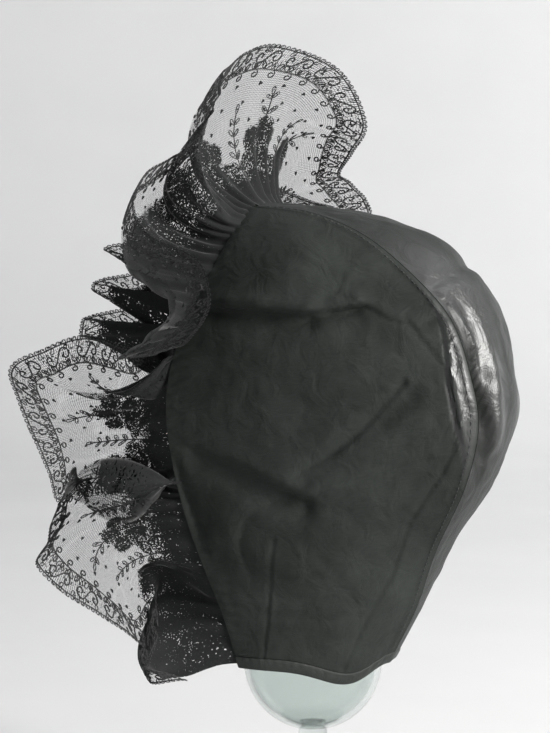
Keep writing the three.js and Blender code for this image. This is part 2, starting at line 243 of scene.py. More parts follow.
# Silk: two dark tones in soft clouds, with small creases, slubs along the weft and a plain weave as bump.
# It is matt, and turns to satin where the shine of the piece is one. A light below one darkens both tones
# as painted shade.
def silkMaterial(name, light):
    n = Nodes(name)
    place = n.add("ShaderNodeTexCoord").outputs["Object"]
    cloth = n.add("ShaderNodeUVMap", uv_map="cloth").outputs["UV"]
    clouds = n.noise(place, 16.0, 5.0, Roughness=0.6)
    long = n.add("ShaderNodeMapping", {"Vector": cloth, "Scale": (160.0, 1600.0, 1.0)})
    slubs = n.noise(long.outputs[0], 1.0, 2.0)
    weave = n.math("MULTIPLY", n.waves(cloth, 520.0, "X"), n.waves(cloth, 520.0, "Y"))
    tone = n.mixed(clouds, 0.8, slubs)
    dark = np.array([0.008, 0.0094, 0.0082]) * light
    pale = np.array([0.033, 0.0376, 0.0342]) * light
    n.link(n.ramp(tone, dark, pale, 0.3, 0.72), "Base Color")
    shine = n.add("ShaderNodeAttribute", attribute_name="shine").outputs["Fac"]
    uneven = n.math("ADD", n.math("MULTIPLY", clouds, 0.24), 0.55)
    n.link(n.math("SUBTRACT", uneven, n.math("MULTIPLY", shine, 0.3)), "Roughness")
    n.link(n.math("ADD", n.math("MULTIPLY", shine, 0.5), 0.12), "Specular IOR Level")
    fine = n.math("ADD", n.math("MULTIPLY", weave, 0.5), slubs)
    creased = n.bump(n.noise(place, 75.0, 4.0, Distortion=0.8), 0.5, 0.0025)
    woven = n.bump(fine, 0.25, 0.00025)
    n.tree.links.new(creased, woven.node.inputs["Normal"])
    n.link(woven, "Normal")
    n.set(Sheen_Weight=0.03, Sheen_Roughness=0.4)
    n.shader.inputs["Sheen Tint"].default_value = (0.75, 0.8, 0.8, 1)
    return n.material


# Net: thin lines along and across the strip, closed up by a porous cloth where the motifs are dense
def netMaterial(name):
    n = Nodes(name)
    cloth = n.add("ShaderNodeUVMap", uv_map="cloth").outputs["UV"]
    parts = n.add("ShaderNodeSeparateXYZ", {"Vector": cloth})
    lines = []
    for axis, pitch, share in (("X", 0.00105, 0.12), ("Y", 0.0014, 0.07)):
        cell = n.math("FRACT", n.math("MULTIPLY", parts.outputs[axis], 1 / pitch))
        away = n.math("ABSOLUTE", n.math("SUBTRACT", cell, 0.5))
        lines.append(n.math("LESS_THAN", away, share / 2))
    dense = n.add("ShaderNodeAttribute", attribute_name="dense").outputs["Fac"]
    pores = n.noise(cloth, 880.0, 2.0)
    holes = n.mixed(pores, 0.75, n.noise(cloth, 230.0, 2.0))
    limit = n.math("ADD", n.math("MULTIPLY", dense, 0.46), 0.22)
    closed = n.math("LESS_THAN", holes, limit)
    alpha = n.math("MAXIMUM", n.math("MAXIMUM", lines[0], lines[1]), closed)
    n.link(alpha, "Alpha")
    tone = n.ramp(pores, (0.006, 0.0066, 0.0066), (0.022, 0.0236, 0.023))
    n.link(tone, "Base Color")
    n.set(Roughness=0.8, Specular_IOR_Level=0.15, Sheen_Weight=0.25, Sheen_Roughness=0.35)
    return n.material


# Lace thread: twisted yarn, dark, with a painted gloss: its colour is lighter on the turns of the twist
def threadMaterial(name, light):
    n = Nodes(name)
    cloth = n.add("ShaderNodeUVMap", uv_map="cloth").outputs["UV"]
    twist = n.waves(cloth, 300.0, "DIAGONAL")
    dark = np.array([0.35, 0.36, 0.37]) * light
    # Painted gloss: the base colour runs from 0.35 of the light between the turns to the full light on them
    n.link(n.ramp(twist, dark, np.full(3, light)), "Base Color")
    n.link(n.bump(twist, 0.3, 0.0002), "Normal")
    n.set(Roughness=0.65, Specular_IOR_Level=0.2)
    return n.material


def glassMaterial(name):
    n = Nodes(name)
    place = n.add("ShaderNodeTexCoord").outputs["Object"]
    n.link(n.bump(n.noise(place, 22.0, 2.0), 0.12, 0.002), "Normal")
    n.set(Roughness=0.03, IOR=1.45, Transmission_Weight=1.0)
    n.shader.inputs["Base Color"].default_value = (0.78, 0.83, 0.81, 1)
    return n.material


silk = silkMaterial("black_silk", 1.0)
# The gusset's silk is the same silk with both tones darkened to 0.55: painted shade on the whole gusset
shadedGussetSilk = silkMaterial("black_gusset_silk_painted_shade", 0.55)
net = netMaterial("black_net")
thread = threadMaterial("black_lace_thread", 0.06)
stitch = threadMaterial("black_sewing_thread", 0.07)
clearGlass = glassMaterial("clear_glass")
print("materials made")


# Silk, in millimetres. The tables are those of the part's source.
frontEdge = {
    "x": [-29, -35, -44, -53, -60, -64, -62, -54, -44, -34, -28],
    "half": [58, 61, 64, 66.5, 68.5, 70, 69.5, 66.5, 60, 47, 30],
    "z": [103, 125, 149, 175, 203, 232, 258, 283, 307, 331, 347],
}
seam = {
    "x": [49, 62, 76, 94, 102, 98, 87, 64, 36, 4, -28],
    "half": [8, 12, 28, 41, 46, 47, 46, 43, 39, 34, 30],
    "z": [100, 126, 160, 196, 228, 256, 286, 311, 332, 344, 347],
    "bulge": [0, 1, 3, 7, 11, 15, 18, 19, 10, 3, 2],
}
panel = {
    "swell": [4, 5, 5, 5, 4, 0],
    "turn": [2.0, 2.2, 2.8, 2.8, 2.2, 1.4],
    "top": 0.985,
    "wall": 1.6,
    "gap": 0.3,
    "neckDip": 9,
    "dipEnds": 0.3,
    "dipSkew": 2.4,
    "calmEdge": 0.2,
    "columns": 136,
    "rows": 176,
}

# Soft folds of the part's source, then the sharp ones. over lifts one side of the line and sinks the other.
softFolds = [
    {"path": [(-40, 298), (14, 294)], "lift": 2.2, "width": 6, "over": 0},
    {"path": [(-38, 287), (14, 284)], "lift": -2.4, "width": 5, "over": 0},
    {"path": [(41, 296), (76, 279)], "lift": 1.8, "width": 6, "over": 0},
    {"path": [(-46, 209), (8, 184)], "lift": -3.6, "width": 7, "over": 0},
    {"path": [(12, 202), (68, 246)], "lift": -2.6, "width": 6, "over": 0},
    {"path": [(14, 184), (82, 204)], "lift": -2.4, "width": 6, "over": 0},
    {"path": [(-58, 200), (-40, 158)], "lift": -3.4, "width": 8, "over": 0},
    {"path": [(-26, 162), (4, 152)], "lift": 2.6, "width": 10, "over": 0},
]
sharpFolds = [
    {"path": [(-46, 292), (-14, 291), (12, 289), (38, 293)], "lift": -0.6, "width": 3.4, "over": 2.8},
    {"path": [(-46, 296), (-14, 296), (12, 294), (38, 297)], "lift": 1.5, "width": 3.6, "over": 0.0},
    {"path": [(38, 297), (57, 286), (68, 283), (81, 289)], "lift": -0.8, "width": 2.2, "over": 0.7},
    {"path": [(-48, 216), (-20, 205), (0, 195), (13, 190)], "lift": -1.5, "width": 3.2, "over": 1.2},
    {"path": [(11, 205), (28, 214), (44, 228), (65, 252)], "lift": -0.9, "width": 1.8, "over": -1.0},
    {"path": [(13, 190), (33, 196), (55, 207), (76, 213)], "lift": -1.2, "width": 2.8, "over": 1.0},
    {"path": [(2, 192), (-13, 186), (-22, 178), (-25, 166), (-22, 154)],
     "lift": -0.8, "width": 5.0, "over": -0.5},
    {"path": [(-60, 208), (-50, 186), (-42, 163)], "lift": -1.6, "width": 3.6, "over": 1.0},
    {"path": [(-34, 176), (-38, 166)], "lift": 1.6, "width": 9, "over": 0},
    {"path": [(-4, 168), (-8, 136), (-13, 98)], "lift": -0.35, "width": 1.2, "over": 0.35},
    {"path": [(66, 286), (84, 262), (92, 240), (91, 219), (83, 203), (65, 176), (55, 149), (37, 117),
              (27, 94)],
     "lift": -0.45, "width": 1.4, "over": 0.45},
    {"path": [(-20, 240), (4, 246), (30, 236)], "lift": -0.4, "width": 4, "over": 0},
    {"path": [(20, 160), (34, 140), (38, 120)], "lift": -0.5, "width": 4, "over": 0.3},
    {"path": [(-30, 270), (0, 264), (40, 268)], "lift": 0.5, "width": 7, "over": 0},
    {"path": [(-10, 128), (24, 124), (44, 132)], "lift": -0.5, "width": 3.5, "over": 0.3},
    {"path": [(0, 320), (24, 308), (44, 300)], "lift": -0.6, "width": 4, "over": 0},
]


def foldLift(x, z, folds):
    lift = np.zeros_like(x)
    for fold in folds:
        near = np.full_like(x, 1e9)
        side = np.zeros_like(x)
        for (x0, z0), (x1, z1) in zip(fold["path"][:-1], fold["path"][1:]):
            ax, az = x1 - x0, z1 - z0
            share = np.clip(((x - x0) * ax + (z - z0) * az) / (ax * ax + az * az), 0, 1)
            dx, dz = x - x0 - share * ax, z - z0 - share * az
            away = np.hypot(dx, dz)
            nearer = away < near
            side = np.where(nearer, (ax * dz - az * dx) / np.hypot(ax, az), side)
            near = np.where(nearer, away, near)
        crease = fold["lift"] * bell(near, fold["width"])
        lift += crease + fold["over"] * np.tanh(side) * bell(near, 1.8 * fold["width"])
    return lift


# Slight unevenness of handled cloth: a sum of waves in all directions, the long ones highest
def ripple(a, b, seed, longest=46, shortest=9, count=14):
    rng = np.random.default_rng(seed)
    total = np.zeros_like(a)
    for wave in np.geomspace(longest, shortest, count):
        turn = rng.uniform(0, np.pi)
        start = rng.uniform(0, 2 * np.pi)
        total += wave / longest * np.sin(2 * np.pi * (a * np.cos(turn) + b * np.sin(turn)) / wave + start)
    return total / np.sqrt(count)


# Rounded length of a seam and width of a panel
seamLength = 330
panelWidth = 130


def seamPoint(t):
    return np.stack([through(seam["x"], t), -through(seam["half"], t), through(seam["z"], t)], -1)


rolled = {"from": 0.28, "widest": 0.45, "to": 0.72, "width": 9, "rise": 2.8, "least": 0.5, "step": 2.2}


# Share of a stretch of the seam that rises from nothing to one and back to nothing
def opening(t, part, middle):
    return smooth(t, part["from"], part[middle]) * (1 - smooth(t, part[middle], part["to"]))


# Rolled edge that stands up beside the seam: a slope from the seam to its crest, and a short step back
def rolledEdge(fromSeam, t):
    crest = rolled["width"] * opening(t, rolled, "widest") + rolled["least"]
    slope = np.clip(fromSeam / crest, 0, 1)
    step = 1 - smooth(fromSeam, crest, crest + rolled["step"])
    return opening(t, rolled, "widest") * slope * step


# Outer face of the left panel: x and z run straight from front edge to seam, y turns in as a power of s
def panelPoint(s, t, fine=True):
    x = lerp(through(frontEdge["x"], t), through(seam["x"], t), s)
    nearNeck = 1 - smooth(t, 0, panel["dipEnds"])
    dip = panel["neckDip"] * np.sin(np.pi * s ** panel["dipSkew"]) ** 2 * nearNeck
    z = lerp(through(frontEdge["z"], t), through(seam["z"], t), s) - dip
    inwards = lerp(through(frontEdge["half"], t), through(seam["half"], t), s ** through(panel["turn"], t))
    swell = through(panel["swell"], t) * np.sin(np.pi * s)
    calm = np.clip(np.minimum(s, 1 - s) / panel["calmEdge"], 0, 1)
    out = inwards + swell + calm * foldLift(x, z, softFolds)
    if fine:
        wide = np.hypot(through(seam["x"], t) - through(frontEdge["x"], t), 20)
        fromSeam = (1 - s) * wide
        fromEdge = s * wide
        edges = smooth(fromSeam, 0, 5) * smooth(fromEdge, 0, 4)
        run = t * seamLength
        ridge = 0.5 * bell(fromSeam - 2.2, 1.6) - 0.15 * bell(fromSeam - 6, 2.4)
        pucker = 0.12 * np.sin(2 * np.pi * run / 6.5) * bell(fromSeam - 4, 5)
        wave = np.sin(2 * np.pi * run / 7.5 + 2 * np.sin(run / 23))
        gathers = 0.5 * wave * bell(fromEdge, 9) * smooth(fromEdge, 0, 3)
        detail = foldLift(x, z, sharpFolds) + 0.5 * ripple(x, z, 3, shortest=6, count=18)
        out = out + edges * detail + smooth(fromSeam, 0, 1.5) * (ridge + pucker) + gathers
        out = out + rolled["rise"] * rolledEdge(fromSeam, t)
    return np.stack([x, -out, z], -1)


tuck = {"from": 0.28, "deepest": 0.47, "to": 0.68, "across": 0.76, "width": 0.1, "depth": 7}
pleat = {"low": 0.6, "high": 0.92, "rise": 3.2, "drop": 4.0, "outside": 0.03, "inside": 0.2}


# Share of the gusset's half width past the edge of the pleat, which runs aslant over the tuck
def pastPleat(q, t):
    return np.abs(q) - lerp(pleat["low"], pleat["high"], smooth(t, 0.3, 0.68))


# Outer face of the gusset: the seam's plane curve lifted along its normal by a parabola, less the two tucks
def gussetPoint(q, t, fine=True):
    step = 0.01
    dx = through(seam["x"], t + step) - through(seam["x"], t - step)
    dz = through(seam["z"], t + step) - through(seam["z"], t - step)
    length = np.hypot(dx, dz)
    opened = opening(t, tuck, "deepest")
    fromTuck = (np.abs(q) - tuck["across"]) / tuck["width"]
    lift = through(seam["bulge"], t) * (1 - q * q) - tuck["depth"] * opened * bell(fromTuck, 1)
    half = through(seam["half"], t)
    if fine:
        fromSeam = (1 - np.abs(q)) * half
        run = t * seamLength
        past = pastPleat(q, t)
        lip = pleat["rise"] * bell(past, np.where(past > 0, pleat["outside"], pleat["inside"]))
        lips = lip - pleat["drop"] * smooth(past, 0, 0.05) * (1 - smooth(np.abs(q), 0.93, 1))
        wrinkles = 0.7 * ripple(q * half, run, 8, longest=40, shortest=7, count=18)
        notch = -2.2 * bell(run - 116, 5) * smooth(np.abs(q), 0.2, 0.8) - 1.8 * bell(run - 218, 4)
        lift = lift + smooth(fromSeam, 0, 5) * (wrinkles + notch) + opened * lips
    x = through(seam["x"], t) + dz / length * lift
    z = through(seam["z"], t) - dx / length * lift
    return np.stack([x, q * half, z], -1)


# Inner face: the outer one moved inwards along its normal, and near the seam along the mitre of both walls
def innerFace(outer, mitre, fromSeam, thick):
    way = unit(lerp(gridNormals(outer), mitre, bell(fromSeam, 3)[..., None]))
    return outer - way * thick


s, t = grids(np.linspace(0, 1, panel["columns"]), np.linspace(0, panel["top"], panel["rows"]))
leftOuter = panelPoint(s, t)
gusset = {"columns": 84, "rows": 220}
q, gt = grids(np.linspace(-1, 1, gusset["columns"]), np.linspace(0, panel["top"], gusset["rows"]))
gussetOuter = gussetPoint(q, gt)

seamRows = np.linspace(0, panel["top"], panel["rows"])
ones = np.ones_like(seamRows)
seamAhead = np.gradient(seamPoint(seamRows), axis=0)
inPanel = panelPoint(ones * 0.94, seamRows, False)
intoGusset = gussetPoint(-0.9 * ones, seamRows, False) - gussetPoint(-ones, seamRows, False)
panelOut = unit(np.cross(panelPoint(ones, seamRows, False) - inPanel, seamAhead))
gussetOut = unit(np.cross(intoGusset, seamAhead))
mitre = unit(panelOut + gussetOut)
apart = unit(np.cross(mitre, seamAhead))
apart = apart * np.sign(np.sum(apart * (inPanel - seamPoint(seamRows)), -1))[:, None]


def buildPanel(name, node, mirror):
    outer = leftOuter + apart[None] * (panel["gap"] / 2) * (s[..., None] > 0.999)
    fromSeam = (1 - s) * panelWidth
    inner = innerFace(outer, mitre[None], fromSeam, panel["wall"])
    points = np.concatenate([outer.reshape(-1, 3), inner.reshape(-1, 3)])
    faces = wallFaces(panel["columns"], panel["rows"])
    if mirror:
        points = points * mirrored
        faces = faces[:, ::-1]
    uv = np.stack([s * 0.15, t * 0.3], -1).reshape(-1, 2)
    shine = np.clip(5 * rolledEdge(fromSeam, t), 0, 1).ravel()
    piece = makePiece(name, points, [faces], silk, twice(uv), {"shine": twice(shine)})
    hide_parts(node)
    return piece


leftPanel = buildPanel("silk_panel_left", "side_panel_left", False)
rightPanel = buildPanel("silk_panel_right", "side_panel_right", True)


def buildGusset():
    way = between(gt[0], seamRows, mitre)
    aside = between(gt[0], seamRows, apart)
    outer = gussetOuter.copy()
    outer[0] -= aside * panel["gap"] / 2
    outer[-1] -= aside * mirrored * panel["gap"] / 2
    sideWay = np.where(q[..., None] < 0, way[None], way[None] * mirrored)
    fromSeam = (1 - np.abs(q)) * through(seam["half"], gt)
    inner = innerFace(outer, sideWay, fromSeam, panel["wall"])
    points = np.concatenate([outer.reshape(-1, 3), inner.reshape(-1, 3)])
    uv = np.stack([q * 0.045, gt * 0.36], -1).reshape(-1, 2)
    beside = lerp(0.45, 1, smooth(np.abs(q), 0.25, 0.5))
    worn = lerp(0.3, beside, smooth(gt, 0.3, 0.42) * (1 - smooth(gt, 0.62, 0.8)))
    shine = (worn * (1 - opening(gt, tuck, "deepest") * smooth(pastPleat(q, gt), -0.01, 0.02))).ravel()
    faces = [wallFaces(gusset["columns"], gusset["rows"])]
    # The gusset takes the darkened copy of the silk: painted shade
    piece = makePiece("silk_gusset", points, faces, shadedGussetSilk, twice(uv), {"shine": twice(shine)})
    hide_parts("crown_gusset")
    return piece


gussetPiece = buildGusset()
print("silk made")


# Tubes on a surface: each thread is a path with a normal at every point, and a ring of sides round it
def tubeParts(base, normal, radius, flatness, sides, closed):
    threads, count = base.shape[:2]
    if closed:
        ahead = np.roll(base, -1, 1) - np.roll(base, 1, 1)
    else:
        ahead = np.gradient(base, axis=1)
    aside = unit(np.cross(normal, ahead))
    angle = 2 * np.pi * np.arange(sides) / sides
    across = np.cos(angle)[:, None] * aside[:, :, None]
    upwards = flatness * np.sin(angle)[:, None] * normal[:, :, None]
    points = base[:, :, None] + radius * (across + upwards)
    first = np.arange(threads)[:, None] * count * sides
    quads = ringFaces(count + 1 if closed else count, sides) % (count * sides)
    quads = (quads + first[..., None]).reshape(-1, 4)
    caps = np.zeros((0, sides), int)
    if not closed:
        around = np.arange(sides)
        caps = np.concatenate([first + around[::-1], first + (count - 1) * sides + around])
    steps = np.linalg.norm(np.diff(base, axis=1), axis=2)
    run = np.concatenate([np.zeros((threads, 1)), np.cumsum(steps, 1)], 1)
    uv = np.stack(np.broadcast_arrays(run[:, :, None] * mm, np.arange(sides) * radius * 2 * mm), -1)
    return points.reshape(-1, 3), quads, caps, uv.reshape(-1, 2)


def makeTubes(name, groups, material):
    points, faces, uv, start = [], [], [], 0
    for group in groups:
        p, quads, caps, where = tubeParts(*group)
        points.append(p)
        uv.append(where)
        faces.append(quads + start)
        if len(caps):
            faces.append(caps + start)
        start += len(p)
    return makePiece(name, np.concatenate(points), faces, material, np.concatenate(uv))


# Backstitches along both seams: short tubes that sink into the silk at their ends
stitches = {"pitch": 4.2, "length": 2.7, "radius": 0.28, "flatness": 0.8, "sides": 5, "across": 0.972}


def stitchRow(line, normal):
    run = runAlong(line)
    count = int(run[-1] / stitches["pitch"])
    middle = (np.arange(count) + 0.5) * stitches["pitch"]
    along = middle[:, None] + np.linspace(-0.5, 0.5, 6) * stitches["length"]
    base = between(along, run, line)
    out = unit(between(along, run, normal))
    sink = 0.3 * (1 - np.linspace(-1, 1, 6) ** 2) - 0.12
    return base + out * sink[None, :, None], out


def seamStitches():
    column = int(panel["columns"] * stitches["across"])
    line = leftOuter[column, 3:-3]
    normal = gridNormals(leftOuter)[column, 3:-3]
    base, out = stitchRow(line, normal)
    form = (stitches["radius"], stitches["flatness"], stitches["sides"], False)
    groups = [(base, out, *form), (base * mirrored, out * mirrored, *form)]
    piece = makeTubes("seam_stitches", groups, stitch)
    return piece


stitchPiece = seamStitches()


# Neck hem: a rounded band swept along the neck edge of the three silk pieces
hem = {"wall": 2.4, "height": 7, "sections": 180, "around": 18, "squareness": 0.55, "shine": 0.3}


# Rounded square from the sine or cosine of a turn
def squared(v):
    return np.sign(v) * np.abs(v) ** hem["squareness"]


def hemPath():
    side = np.linspace(0, 1, hem["sections"] // 2)
    zero = np.zeros_like(side)
    top = panelPoint(side, zero, False)
    down = unit(top - panelPoint(side, zero + 0.01, False))
    nape = gussetPoint(np.zeros(1), np.zeros(1), False)
    napeDown = unit(nape - gussetPoint(np.zeros(1), np.full(1, 0.01), False))
    path = np.concatenate([top, nape, (top * mirrored)[::-1]])
    return path, np.concatenate([down, napeDown, (down * mirrored)[::-1]])


def buildHem():
    top, down = hemPath()
    along = unit(np.gradient(top, axis=0))
    out = unit(np.cross(down, along))
    angle = 2 * np.pi * np.arange(hem["around"]) / hem["around"]
    proud = hem["wall"] / 2 * squared(np.cos(angle)) - panel["wall"] / 2
    drop = panel["gap"] + hem["height"] / 2 * (1 - squared(np.sin(angle)))
    pucker = 0.18 * np.sin(np.arange(len(top)) * 1.25)[:, None] * (drop < 2.5)
    aside = out[:, None] * (proud[None, :, None] + pucker[..., None])
    points = top[:, None] + aside + down[:, None] * drop[None, :, None]
    rows, around = points.shape[:2]
    quads = flipped(ringFaces(rows, around))
    caps = np.stack([np.arange(around), (rows - 1) * around + np.arange(around)[::-1]])
    uv = np.stack(np.broadcast_arrays(np.arange(rows)[:, None] * 0.0018, np.arange(around) * 0.001), -1)
    flat = points.reshape(-1, 3)
    values = {"shine": np.full(len(flat), hem["shine"])}
    piece = makePiece("silk_hem", flat, [quads, caps], silk, uv.reshape(-1, 2), values)
    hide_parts("neck_hem")
    return piece


hemPiece = buildHem()
print("hem made")


# Lace frill: each row of its outer edge is a place on the front edge, then x, y and z in millimetres
laceRows = np.array([
    [0.004, -41, -104, 97], [0.022, -49, -114, 97], [0.04, -63, -106, 96], [0.056, -68, -86, 104],
    [0.072, -71, -57, 117], [0.088, -73, -55, 113], [0.105, -72, -78, 109], [0.135, -92, -98, 128],
    [0.158, -123, -108, 152], [0.166, -129, -80, 165], [0.173, -131, -54, 181], [0.18, -124, -50, 201],
    [0.188, -116, -78, 202], [0.196, -116, -98, 189], [0.225, -129, -90, 214], [0.27, -152, -76, 256],
    [0.283, -140, -52, 268], [0.292, -117, -50, 276], [0.3, -82, -70, 269], [0.306, -52, -108, 270],
    [0.314, -28, -133, 281], [0.322, -16, -146, 298], [0.331, -19, -146, 313], [0.34, -31, -141, 322],
    [0.35, -51, -132, 330], [0.36, -64, -124, 343], [0.372, -66, -110, 356], [0.386, -60, -88, 370],
    [0.402, -49, -56, 379], [0.415, -37, -86, 387], [0.428, -24, -110, 397], [0.44, -32, -72, 411],
    [0.455, -42, -30, 421], [0.47, -36, -10, 433], [0.49, -18, 4, 437], [0.512, 11, 16, 424],
    [0.53, 24, 30, 395], [0.545, 12, 46, 378], [0.558, 1, 62, 367], [0.57, 4, 80, 361],
    [0.582, 9, 96, 353], [0.592, 2, 110, 343], [0.608, -58, 70, 364], [0.622, -46, 122, 338],
    [0.642, -129, 58, 327], [0.65, -142, 60, 321], [0.66, -126, 92, 311], [0.668, -144, 58, 306],
    [0.676, -150, 54, 299], [0.686, -128, 92, 289], [0.695, -150, 54, 284], [0.704, -158, 46, 273],
])
lace = {
    "width": 98,
    "standoff": 1.0,
    "tuckedIn": 4,
    "layer": 0.3,
    "endDrop": 8,
    "farFirst": 0.73,
    "farLast": 0.995,
    "farTurns": 9,
    "farLean": (-58, 18, -8),
    "farSpread": (-16, 66, -4),
    "columns": 1300,
    "cells": 50,
    "gathers": 92,
    "gatherDepth": 1.2,
    "flutter": 0.8,
    "flutterPitch": 41,
    "repeat": 64,
}


# Line that the lace is sewn to: the middle of the silk's edge, with the way ahead out of the silk
def laceBase():
    rows = np.linspace(0, panel["top"], 27)
    zero = np.zeros_like(rows)
    edge = panelPoint(zero, rows, False)
    inside = panelPoint(zero + 1 / 16, rows, False)
    out = unit(np.cross(inside - edge, np.gradient(edge, axis=0)))
    left = edge - out * panel["wall"] / 2
    leftAhead = unit(edge - inside)
    hemEnd = left[:1] + unit(left[:1] - left[1:2]) * (panel["gap"] + hem["height"])
    left = np.concatenate([hemEnd, left])
    leftAhead = np.concatenate([leftAhead[:1], leftAhead])
    stations = np.array([-0.86, -0.76, -0.66, -0.52, -0.3, 0, 0.3, 0.52, 0.66, 0.76, 0.86])
    top = np.full_like(stations, panel["top"])
    crown = gussetPoint(stations, top, False)
    behind = gussetPoint(stations, top - panel["top"] / 26, False)
    crownOut = unit(np.cross(np.gradient(crown, axis=0), crown - behind))
    leftOut = np.concatenate([out[:1], out])
    point = np.concatenate([left, crown - crownOut * panel["wall"] / 2, (left * mirrored)[::-1]])
    ahead = np.concatenate([leftAhead, unit(crown - behind), (leftAhead * mirrored)[::-1]])
    outward = np.concatenate([leftOut, crownOut, (leftOut * mirrored)[::-1]])
    run = runAlong(point)
    return run / run[-1], point, ahead, outward


baseRun, *baseLines = laceBase()


# Point of the base, the way ahead and the way out of the silk, at a share of its length
def onBase(share):
    point, ahead, outward = (between(share, baseRun, line) for line in baseLines)
    return point, unit(ahead), unit(outward)


farAt = np.linspace(lace["farFirst"], lace["farLast"], lace["farTurns"])
farEven = (np.arange(lace["farTurns"]) % 2 == 0)[:, None]
farEnd = onBase(farAt)[0] + np.where(farEven, lace["farSpread"], lace["farLean"])
allRows = np.concatenate([laceRows, np.column_stack([farAt, farEnd])])


# Smooth frill: straight lines from base to outer edge, bowed ahead by the lace's spare width
def frillPoint(u, v):
    at, x, y, z = (through(allRows[:, k], u) for k in range(4))
    point, ahead, outward = onBase(at)
    start = point + ahead * lace["standoff"]
    reach = np.stack([x, y, z], -1) - start
    far = np.linalg.norm(reach, axis=-1, keepdims=True)
    straight = np.minimum(far, lace["width"])
    towards = reach / far
    bowWay = unit(ahead - towards * np.sum(ahead * towards, -1, keepdims=True))
    bow = straight * np.sqrt(np.maximum(0, 3 / 8 * (lace["width"] / straight - 1)))
    v = v[None, :, None]
    under = (ahead * lace["tuckedIn"] + outward * panel["wall"])[:, None] * (1 - smooth(v, 0, 0.06))
    line = start[:, None] + (towards * straight)[:, None] * v
    return line + (bowWay * bow)[:, None] * 4 * v * (1 - v) - under


def laceGrid():
    u = np.linspace(0, 1, 6000)
    edge = frillPoint(u, np.array([0.0, 0.5, 0.92]))
    steps = np.linalg.norm(np.diff(edge, axis=0), axis=2)
    runs = steps.sum(0)
    print("lace lengths at base, middle and edge", runs.round())
    run = np.concatenate([[0], np.cumsum(steps[:, 2] + 0.25 * steps[:, 1])])
    length = runs[2]
    a = np.linspace(0, length, lace["columns"])
    v = np.linspace(0, 1, lace["cells"])
    spread = np.interp(a / length, run / run[-1], u)
    points = frillPoint(spread, v)
    normals = gridNormals(points)
    depth = lace["gatherDepth"] * smooth(v, 0, 0.08) * (1 - smooth(v, 0.15, 0.75)) + 0.25
    wave = np.sin(2 * np.pi * lace["gathers"] * a / length + 0.8 * np.sin(a / 37))
    sway = np.sin(2 * np.pi * a / lace["flutterPitch"] + 1.1 * np.sin(a / 61))
    flutter = lace["flutter"] * sway[:, None] * smooth(v, 0.4, 1)[None]
    points = points + normals * (wave[:, None] * depth[None] + flutter)[..., None]
    at = through(allRows[:, 0], spread)
    atEnds = 1 - smooth(np.minimum(at, 1 - at), 0, 0.05)
    points[..., 2] -= lace["endDrop"] * atEnds[:, None] * smooth(v, 0, 0.3) * (1 - smooth(v, 0.5, 0.9))
    return length, at, points, gridNormals(points)


laceLength, laceAt, lacePoints, laceNormals = laceGrid()


# Place on the lace from flat millimetres: a along the strip and w across it from the base
def onLace(a, w):
    i = np.clip(a / laceLength, 0, 1) * (lace["columns"] - 1)
    j = np.clip(w / lace["width"], 0, 1) * (lace["cells"] - 1)
    i0 = np.minimum(i.astype(int), lace["columns"] - 2)
    j0 = np.minimum(j.astype(int), lace["cells"] - 2)
    f, g = (i - i0)[..., None], (j - j0)[..., None]

    def mixed(grid):
        low = lerp(grid[i0, j0], grid[i0 + 1, j0], f)
        high = lerp(grid[i0, j0 + 1], grid[i0 + 1, j0 + 1], f)
        return lerp(low, high, g)

    past = np.maximum(w - lace["width"], 0)[..., None]
    edgeWay = unit(lacePoints[i0, -1] - lacePoints[i0, -3])
    return mixed(lacePoints) + edgeWay * past, unit(mixed(laceNormals))


tiles = int(round(laceLength / lace["repeat"]))
tile = laceLength / tiles


# Petal: a teardrop loop from foot to tip. Rows are foot a, foot w, way in degrees, length and width.
def petalLoops(rows, count):
    turn = 2 * np.pi * np.arange(count) / count
    along = rows[:, 3:4] * (1 - np.cos(turn)) / 2
    aside = rows[:, 4:5] / 2 * np.sin(turn) * np.abs(np.sin(turn / 2)) ** 0.7
    way = np.radians(rows[:, 2:3])
    a = rows[:, 0:1] + along * np.cos(way) - aside * np.sin(way)
    w = rows[:, 1:2] + along * np.sin(way) + aside * np.cos(way)
    return np.stack([a, w], -1)


def rosette(a, w, petals, length, width, turn):
    way = turn + np.arange(petals) * 360 / petals
    foot = np.radians(way)
    sizes = np.full((petals, 2), (length, width))
    return np.column_stack([a + np.cos(foot), w + np.sin(foot), way, sizes])


# Sprig: a bent stem with pairs of leaves that get smaller to the tip, and one leaf on top
def sprig(a, w, height, lean, pairs):
    share = np.linspace(0, 1, 14)
    stem = np.stack([a + lean * share ** 2, w + height * share], -1)
    at = np.linspace(0.22, 0.86, pairs)
    way = 90 - np.degrees(np.arctan2(2 * lean * at, height))
    size = np.linspace(8.5, 5.5, pairs)
    footA, footW = a + lean * at ** 2, w + height * at
    leaves = [np.column_stack([footA, footW, way + turn, size, size * 0.42]) for turn in (48, -48)]
    tip = [[a + lean, w + height, way[-1], 6.2, 2.7]]
    return stem, np.concatenate(leaves + [tip])


sprigs = [sprig(51, 12, 44, 4, 5), sprig(20, 50, 17, -4, 2)]
flowers = np.concatenate([
    rosette(6, 13, 6, 6.2, 4.6, 10),
    rosette(21, 11, 7, 6.8, 4.6, 30),
    rosette(36, 13, 6, 6.2, 4.6, 0),
    rosette(13, 27, 6, 5.8, 4.2, 20),
    rosette(28, 26, 6, 5.8, 4.2, 50),
    rosette(7, 40, 6, 5.2, 3.8, 15),
    rosette(21, 43, 6, 5.6, 4.0, 40),
    rosette(33, 39, 5, 4.6, 3.4, 60),
])
# Closed floral ground: discs of centre a, centre w and radius that overlap into clumps with scalloped tops
clumps = [(2, 20, 14), (20, 22, 17), (38, 19, 13), (8, 38, 11), (22, 43, 12), (33, 38, 9), (58, 8, 14)]
leaves = np.concatenate([leaf for stem, leaf in sprigs])


